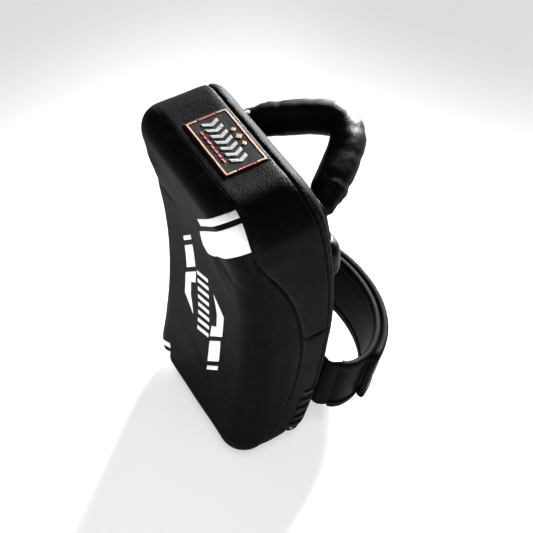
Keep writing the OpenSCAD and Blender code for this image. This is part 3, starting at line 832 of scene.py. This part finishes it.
def tab_stitches(name, outline, inset):
    """Stitches round a tab, inset mm from its edge."""
    ring = [(p + n * (TAB_THICK + 0.05), n) for p, n in tab_ring(outline, inset)]
    pts, nor = [], []
    for (a, c), (b, d) in zip(ring, ring[1:] + ring[:1]):
        steps = max(1, int(np.linalg.norm(b - a) / 2.0))
        for k in range(steps):
            pts.append(a + (b - a) * k / steps)
            nor.append(c + (d - c) * k / steps)
    stitches(name, pts, nor, "pad", EDGE_THREAD)


for side, word in ((-1, "left"), (1, "right")):
    for kind, outline, inset in (("handle", (side * 63, HANDLE_Z, 23, 28, 9), 3.2),
                                 ("strap", (side * 70, STRAP_Z, 14, 38, 5), 3.0)):
        tab(f"{kind}_tab_{word}", outline, f"{kind}_root_{word}")
        tab_stitches(f"stitch_{kind}_tab_{word}", outline, inset)

# ------ hand cushion, puffed by a cloth simulation


def applied(obj):
    """The object's mesh with its modifiers applied."""
    return bpy.data.meshes.new_from_object(obj.evaluated_get(bpy.context.evaluated_depsgraph_get()))


def puffed(node, voxel, pressure, limit, frames):
    """A CAD node's shape swollen like a stuffed cushion: points in mm and faces. No point moves by
    more than the limit."""
    obj = bpy.data.objects.new("puff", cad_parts[node].data.copy())
    scene.collection.objects.link(obj)
    remesh = obj.modifiers.new("remesh", "REMESH")
    remesh.mode = "VOXEL"
    remesh.voxel_size = voxel
    base = applied(obj)
    obj.modifiers.clear()
    obj.data = base
    start = np.array([v.co for v in base.vertices])
    cloth_mod = obj.modifiers.new("cloth", "CLOTH")
    settings = cloth_mod.settings
    settings.quality = 6
    settings.mass = 0.3
    settings.use_pressure = True
    settings.uniform_pressure_force = pressure
    settings.effector_weights.gravity = 0.0
    cloth_mod.point_cache.frame_start, cloth_mod.point_cache.frame_end = 1, frames
    for k in range(1, frames + 1):
        scene.frame_set(k)
    step = np.array([v.co for v in applied(obj).vertices]) - start
    scene.frame_set(1)
    size = np.linalg.norm(step, axis=1, keepdims=True)
    start = start + step * np.minimum(1.0, limit / np.maximum(size, 1e-9))
    faces = [tuple(p.vertices) for p in base.polygons]
    bpy.data.objects.remove(obj)
    return start / MM, faces


cushion_v, cushion_f = puffed("hand_cushion", voxel=0.0042, pressure=4.0, limit=0.0035, frames=20)
pairs = np.array([(a, b) for f in cushion_f for a, b in zip(f, f[1:] + f[:1])])
pairs = np.vstack([pairs, pairs[:, ::-1]])
for _ in range(3):
    total = np.zeros_like(cushion_v)
    np.add.at(total, pairs[:, 0], cushion_v[pairs[:, 1]])
    cushion_v = 0.5 * cushion_v + 0.5 * total / np.bincount(pairs[:, 0])[:, None]
cushion_n = normals_of(cushion_v, cushion_f)
cushion_v = cushion_v + cushion_n * (0.5 * noise_at(cushion_v, 0.05, 9))[:, None]
channels = 1.6 * np.exp(-((np.abs(cushion_v[:, 0]) - 28.0) / 2.6) ** 2)
cushion = piece("cushion_leather", cushion_v - cushion_n * channels[:, None], cushion_f, MAT_TUBE, "pad",
                ("hand_cushion",))
sub = cushion.modifiers.new("smooth", "SUBSURF")
sub.levels = sub.render_levels = 1

# ------ hand handle

AXIS_OUT = 13.7
HANDLE_HALF = [(63, AXIS_OUT), (45, AXIS_OUT + 13), (25.2, 77), (0, 77)]
BELOW, BELOW_SCALE = 0.105, 100.0  # the handle's line goes on past each end by this share, in mm per unit
TUBE_SIDES, ROOT_RADIUS, GRIP_RADIUS = 44, 11.0, 17.0
# Creases across the handle: place and width as shares of its length, depth in mm
CREASES = ((0.5, 0.035, 1.5), (0.455, 0.016, 0.9), (0.56, 0.018, 0.8), (0.33, 0.02, 0.55), (0.68, 0.02, 0.55),
           (0.17, 0.02, 0.8), (0.83, 0.02, 0.8), (0.1, 0.014, 0.9), (0.9, 0.014, 0.9))


def bezier(p, t):
    t = np.asarray(t, float)[..., None]
    p = np.asarray(p, float)
    return p[0] * (1 - t) ** 3 + p[1] * 3 * t * (1 - t) ** 2 + p[2] * 3 * t * t * (1 - t) + p[3] * t ** 3


def handle_line(s):
    """Centre line in plan at s from -1 to 1; beyond that it runs straight down to the pad."""
    p = bezier(HANDLE_HALF, 1 - np.minimum(np.abs(s), 1))
    p[..., 0] *= np.sign(s)
    p[..., 1] -= np.maximum(np.abs(s) - 1, 0) * BELOW_SCALE
    return p


ends = np.linspace(BELOW, 0.0, 9)[:-1]
line_s = np.concatenate([-1 - ends, np.sin(np.radians(np.linspace(-90, 90, 150))), (1 + ends)[::-1]])
centre = handle_line(line_s)
heading = unit(np.gradient(centre, axis=0))
outward = np.stack([heading[:, 1], -heading[:, 0]], axis=1)
travel = run_of(centre)
handle_v, handle_wear = [], []
for i, s in enumerate(line_s):
    e = 1 - abs(s)
    r = ROOT_RADIUS
    if e > 0:
        r += (GRIP_RADIUS - ROOT_RADIUS) * smooth(-0.02, 0.2, e)
    down = max(0.0, -e) / BELOW
    flat_x, flat_z = 1 - 0.48 * down, 1 + 0.55 * down
    part = travel[i] / travel[-1]
    for k in range(TUBE_SIDES):
        a = 2 * math.pi * k / TUBE_SIDES
        ca, sa = math.cos(a), math.sin(a)
        fold = 0.0
        for place, wide, deep in CREASES:
            fold -= deep * math.exp(-((part - place - 0.02 * sa) / wide) ** 2) * (0.25 + max(0.0, -ca))
        lump = 0.55 * mnoise.noise(Vector((travel[i] * 0.045, ca * 0.8, sa * 0.8)))
        lump += 0.22 * mnoise.noise(Vector((travel[i] * 0.16, ca * 2.0, sa * 2.0)))
        seam = -0.9 * math.exp(-((a - math.pi) / 0.09) ** 2)
        q = r + (fold + lump + seam) * (1 - down)
        px, py = centre[i] + outward[i] * q * flat_x * ca
        handle_v.append((px, py, q * flat_z * sa))
        handle_wear.append(0.6 * math.exp(-((part - 0.5) / 0.12) ** 2))
handle_f = [f[::-1] for f in tube_faces(len(line_s), TUBE_SIDES)]
handle = piece("handle_leather", on_back(handle_v, HANDLE_Z), handle_f, MAT_TUBE, None,
               ("handle_cover",), handle_wear)
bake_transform(handle)

# ------ forearm strap

FOLD_U, FLAP_END, BAND_END, BAND_IN = 1.03, 1.55, 0.7, 8.8
STRAP_HALF = [(88, 6.7), (139, 8.7), (106, 117), (0, 117)]
EDGE = 36  # half the strap's width


def strap_at(u):
    """Middle line in plan and its outward side at u: 0 left root, 1 crown, 2 right root."""
    def at(w):
        w = np.asarray(w, float)
        p = bezier(STRAP_HALF, np.where(w <= 1, w, 2 - w))
        p[..., 0] *= np.where(w <= 1, -1, 1)
        return p
    d = unit(at(np.minimum(2, u + 0.005)) - at(np.maximum(0, u - 0.005)))
    return at(u), np.stack([-d[..., 1], d[..., 0]], axis=-1)


def spot(x, out):
    """A point of the strap's middle plane, in metres."""
    return on_back([x, out, 0], STRAP_Z) / 1000


fold_x, fold_out = strap_at(FOLD_U)[0]
# Turning axes across the strap, which nothing bends about: body, where the bend starts, where it ends
FOLD = ("strap_flap", spot(fold_x - 3, fold_out), spot(fold_x + 26, fold_out))
ROOT = ("strap_band", spot(0, 9.0), spot(0, 30.0))


def sweep(name, line, out, section, scale, material, replaces, joint, jitter=0.0):
    """A closed section carried along the strap. Section points are (outward, up), and scale narrows
    each ring in both. It rides on a body when joint is that body's name; any other joint leaves it fixed in
    place."""
    rings = []
    for i in range(len(line)):
        ring = []
        for n, w in section:
            lump = jitter * mnoise.noise(Vector((i * 0.16 + 3.0, n * 0.3, w * 0.05))) if n > 0 else 0.0
            rise = n * scale[i][0] + lump
            ring.append((*(line[i] + out[i] * rise), w * scale[i][1]))
        rings.append(ring)
    count = len(section)
    v = on_back(rings, STRAP_Z).reshape(-1, 3)
    f = tube_faces(len(line), count)
    middle = slice(len(line) // 2 * count, (len(line) // 2 + 1) * count)
    from_middle = v[middle] - v[middle].mean(0)
    if np.einsum("ij,ij->i", normals_of(v, f[:-2])[middle], from_middle).mean() < 0:
        f = [g[::-1] for g in f]
    if isinstance(joint, str):
        return piece(name, v, f, material, joint, replaces)
    obj = piece(name, v, f, material, None, replaces)
    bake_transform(obj)
    return obj


def strap_section(outer_puff, inner_puff):
    """Leather section: full in the middle, thin under the bindings, rounded at its edges."""
    out = []
    for side, puff in ((1, outer_puff), (-1, inner_puff)):
        for w in np.linspace(-EDGE, EDGE, 37)[::side]:
            core = max(0.0, 1 - (abs(w) / 27.5) ** 4)
            edge = math.sqrt(max(0.0, 1 - max(0.0, (abs(w) - 33.5) / 2.5) ** 2))
            out.append((side * (2.5 * edge + (0.4 + puff) * core ** 0.5 + 0.02), w))
    return out


def binding_section(top):
    """Tape folded over the strap's edge."""
    pts = [(-4.0, 27.3), (-4.15, 28.2), (-4.0, 34.6), (-3.3, 36.3), (-1.6, 37.1), (0, 37.3), (1.6, 37.1),
           (3.3, 36.3), (4.0, 34.6), (4.15, 28.2), (4.0, 27.3), (2.9, 27.3), (2.7, 31), (2.5, 34.8),
           (0, 36.1), (-2.5, 34.8), (-2.7, 31), (-2.9, 27.3)]
    return pts if top else [(n, -w) for n, w in reversed(pts)]


def rounded_end(from_tip, size):
    """Share that closes in a quarter circle over the last size mm."""
    t = np.clip((size - from_tip) / size, 0, 1)
    return np.sqrt(np.maximum(1 - t ** 2, 0.0))


def layer_of(side, line, out):
    """A strap layer with the flat tail that comes out of its tab: line, outward side, run and ring
    scales. It is thin at the tab, full along the strap and rounded at the free end."""
    xs = np.linspace(64, 87, 9)
    line = np.vstack([np.stack([side * xs, 3.9 + 2.8 * smooth(64, 88, xs)], axis=1), line])
    if out is None:
        way = np.gradient(line, axis=0)
        out = unit(np.stack([way[:, 1], -way[:, 0]], axis=1))
    else:
        out = np.vstack([np.tile([0.0, 1.0], (9, 1)), out])
    run = run_of(line)
    from_tip = run[-1] - run
    wide = 0.80 + 0.20 * rounded_end(from_tip, 12)
    thick = (0.25 + 0.75 * rounded_end(from_tip, 3)) * (0.35 + 0.65 * smooth(0, 22, run))
    return line, out, run, np.stack([thick, wide], axis=1)


def strap_leather(name, layer, section, nodes, joint, jitter=0.0):
    line, out, _, scale = layer
    sweep(name, line, out, section, scale, MAT_STRAP, nodes, joint, jitter)


def binding(name, layer, skip, top, nodes, joint):
    """Edge tape of a strap layer, without the layer's first skip mm."""
    line, out, run, scale = layer
    keep = run > skip
    narrowed = np.stack([np.ones(keep.sum()), scale[keep, 1]], axis=1)
    sweep(name, line[keep], out[keep], binding_section(top), narrowed, MAT_BIND, nodes, joint)


def tape(name, u0, u1, low, high, material, node, body):
    """A strip of hook or loop tape between the strap's layers."""
    line, out = strap_at(np.linspace(u0, u1, 50))
    section = [(high, -23.0), (high, 23.0), (low, 24.0), (low, -24.0)]
    sweep(name, line, out, section, np.ones((50, 2)), material, (node,), body)


def strap_stitches(name, layer, w):
    """Stitches along the outward side of a strap layer, w mm from its middle."""
    line, out, run, scale = layer
    keep = (run > 52) & (run < run[-1] - 8)
    pts = on_back(np.column_stack([line[keep] + out[keep] * 4.2, w * scale[keep, 1]]), STRAP_Z)
    nor = on_back(np.column_stack([out[keep], np.zeros(keep.sum())]), STRAP_Z) - on_back([0, 0, 0], STRAP_Z)
    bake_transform(stitches(name, pts, nor, None, EDGE_THREAD))


# The outer layer goes from the left root over the crown, and its last stretch is the flap. The band
# goes from the right root along the inside, and eases in under the outer layer.
outer = layer_of(-1, *strap_at(np.linspace(0.0, FLAP_END, 170)))
band_line, band_out = strap_at(np.linspace(2.0, BAND_END, 150))
ease = smooth(0.0, 1.0, np.linspace(0.0, 2.0 - BAND_END, 150) / 0.12)
inner = layer_of(1, band_line - band_out * (BAND_IN * ease)[:, None], None)
strap_leather("strap_leather_outer", outer, strap_section(0.9, 0.0), ("strap_outer", "strap_flap"), FOLD, 0.5)
strap_leather("strap_leather_inner", inner, strap_section(0.0, 0.9), ("strap_band",), ROOT)
for word, top in (("upper", True), ("lower", False)):
    nodes = ("outer_binding_" + word, "flap_binding_" + word)
    binding("outer_binding_tape_" + word, outer, 33, top, nodes, FOLD)
    binding("inner_binding_tape_" + word, inner, 40, top, ("band_binding_" + word,), ROOT)
tape("hook_tape_pad", FOLD_U + 0.05, FLAP_END - 0.03, -3.8, -2.9, MAT_HOOK, "hook_patch", "strap_flap")
tape("loop_tape_pad", FOLD_U - 0.1, FLAP_END - 0.02, -5.9, -5.1, MAT_LOOP, "loop_patch", "strap_band")
for w, word in ((29.2, "upper"), (-29.2, "lower")):
    strap_stitches("stitch_strap_outer_" + word, outer, w)
    strap_stitches("stitch_strap_inner_" + word, inner, w)

# ------ lacing

SIDE_RUN, CORNER_RUN = LACE_FROM - LOW_CORNER, LOW_CORNER * math.pi / 2
LACE_RUN = 2 * SIDE_RUN + 2 * CORNER_RUN + 2 * (HALF - LOW_CORNER)
TURNS, TURN_STEPS = 24, 16
OVER, DRIFT = 0.56, 0.30  # share of a turn spent over the edge, and how far along it gets there
LACE_HALF_WIDTH, LACE_HALF_THICK, LACE_SIDES = 2.9, 0.85, 12


def lace_spot(d, e):
    """Surface point and normal of the lower edge: d mm along it from the right side, e mm in front
    of the back rounding (negative: up on it). Last, how much the wall there faces sideways."""
    if d < SIDE_RUN:
        cx, cz, angle = low_x, LACE_FROM - 3 - d, 0.0
    elif d < SIDE_RUN + CORNER_RUN:
        cx, cz, angle = low_x, LOW_CORNER, -90 * (d - SIDE_RUN) / CORNER_RUN
    else:
        cx, cz, angle = low_x - (d - SIDE_RUN - CORNER_RUN), LOW_CORNER, -90.0
    a = max(0.0, -e / BACK_ROUND)
    r = LOW_CORNER - BACK_ROUND * (1 - math.cos(a))
    ca, sa = math.cos(math.radians(angle)), math.sin(math.radians(angle))
    pz = cz + r * sa
    py = float(back_y(pz)) - BACK_ROUND * (1 - math.sin(a)) - max(0.0, e)
    n = np.array([ca * math.cos(a), math.sin(a), sa * math.cos(a)])
    return np.array([cx + r * ca, py, pz]), n, ca ** 2


def lace_path():
    """The flat lace whips round the edge: over it in the open, back under it out of sight."""
    pts, nor = [], []
    for i in range(TURNS):
        for w in np.arange(TURN_STEPS) / TURN_STEPS:
            over = w < OVER
            go = w / OVER if over else 1 - (w - OVER) / (1 - OVER)
            d = LACE_RUN * (i + (DRIFT * go if over else DRIFT + (1 - DRIFT) * (1 - go))) / TURNS
            flip = d > LACE_RUN / 2
            d = LACE_RUN - d if flip else d
            side = lace_spot(d, 0.0)[2]
            front = side * (LACE_SLIT - BACK_ROUND + 0.5) + (1 - side) * (-0.87 * BACK_ROUND)
            rear = side * -2.5 + (1 - side) * (-1.5 * BACK_ROUND)
            p, n, _ = lace_spot(d, front + (rear - front) * go)
            bow = math.sin(math.pi * go)
            lift = -0.9 + 1.9 * bow ** 0.5 + (1 - side) * 1.5 if over else -0.9 - 2.6 * bow ** 0.6
            p = p + n * lift
            if flip:
                p[0], n[0] = -p[0], -n[0]
            pts.append(p)
            nor.append(n)
    return np.array(pts), np.array(nor)


path, facing = lace_path()
way = unit(np.gradient(path, axis=0))
across = unit(np.cross(way, facing))
raised = np.cross(across, way)
angles = np.linspace(0, 2 * math.pi, LACE_SIDES + 1)[:-1, None]
lace_v = (path[:, None] + across[:, None] * (LACE_HALF_WIDTH * np.cos(angles))
          + raised[:, None] * (LACE_HALF_THICK * np.sin(angles))).reshape(-1, 3)
lace_v[:, 2] = np.maximum(lace_v[:, 2], 0.0)
lace_f = [f[::-1] for f in tube_faces(len(path), LACE_SIDES)]
piece("lace_cords", lace_v, lace_f, MAT_LACE, "pad", ("lace",))

# ------ floor, light

bpy.ops.mesh.primitive_plane_add(size=14.0, location=(0, 0, -0.0012))
floor = bpy.context.object
floor.name = "floor"
fm = Nodes("floor_pale")
fm.colour(fm.mix(fm.noise(0.8, 2.0), (0.86, 0.86, 0.86), (0.9, 0.9, 0.9)))
fm.rough(fm.range(fm.noise(3.0, 2.0), 0.3, 0.7, 0.8, 0.9))
fm.set(Specular_IOR_Level=0.1, Emission_Color=(1, 1, 1, 1), Emission_Strength=0.48)
floor.data.materials.append(fm.mat)


def area(name, place, target, size, power, size_y=None, spread=180):
    """An area light that faces its target; the spread is in degrees."""
    light = bpy.data.lights.new(name, "AREA")
    light.energy = power
    light.size = size
    light.spread = math.radians(spread)
    if size_y:
        light.shape = "RECTANGLE"
        light.size_y = size_y
    obj = bpy.data.objects.new(name, light)
    scene.collection.objects.link(obj)
    obj.location = place
    obj.rotation_euler = (Vector(target) - Vector(place)).to_track_quat("-Z", "Y").to_euler()


world = bpy.data.worlds.new("studio")
scene.world = world
world.use_nodes = True
background = world.node_tree.nodes["Background"]
background.inputs["Color"].default_value = (1, 1, 1, 1)
background.inputs["Strength"].default_value = 0.10
area("back_left_softbox", (-1.04, 1.62, 0.66), (0, 0.02, 0.37), size=0.7, power=30, size_y=0.3, spread=30)
area("front_right_strip", (0.95, -1.25, 0.16), (0.05, 0, 0.15), size=0.3, power=1.8, size_y=0.5, spread=40)
area("top_softbox", (1.2, -0.3, 3.4), (0.1, 0.0, 0.0), size=1.9, power=32)
scene.view_settings.view_transform = "Standard"

# CAD nodes that stay: foam inside the covers
for name in ("strike_foam", "core_foam", "backing_foam", "handle_core"):
    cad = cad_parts[name]
    cad.data.materials.clear()
    cad.data.materials.append(MAT_FOAM)
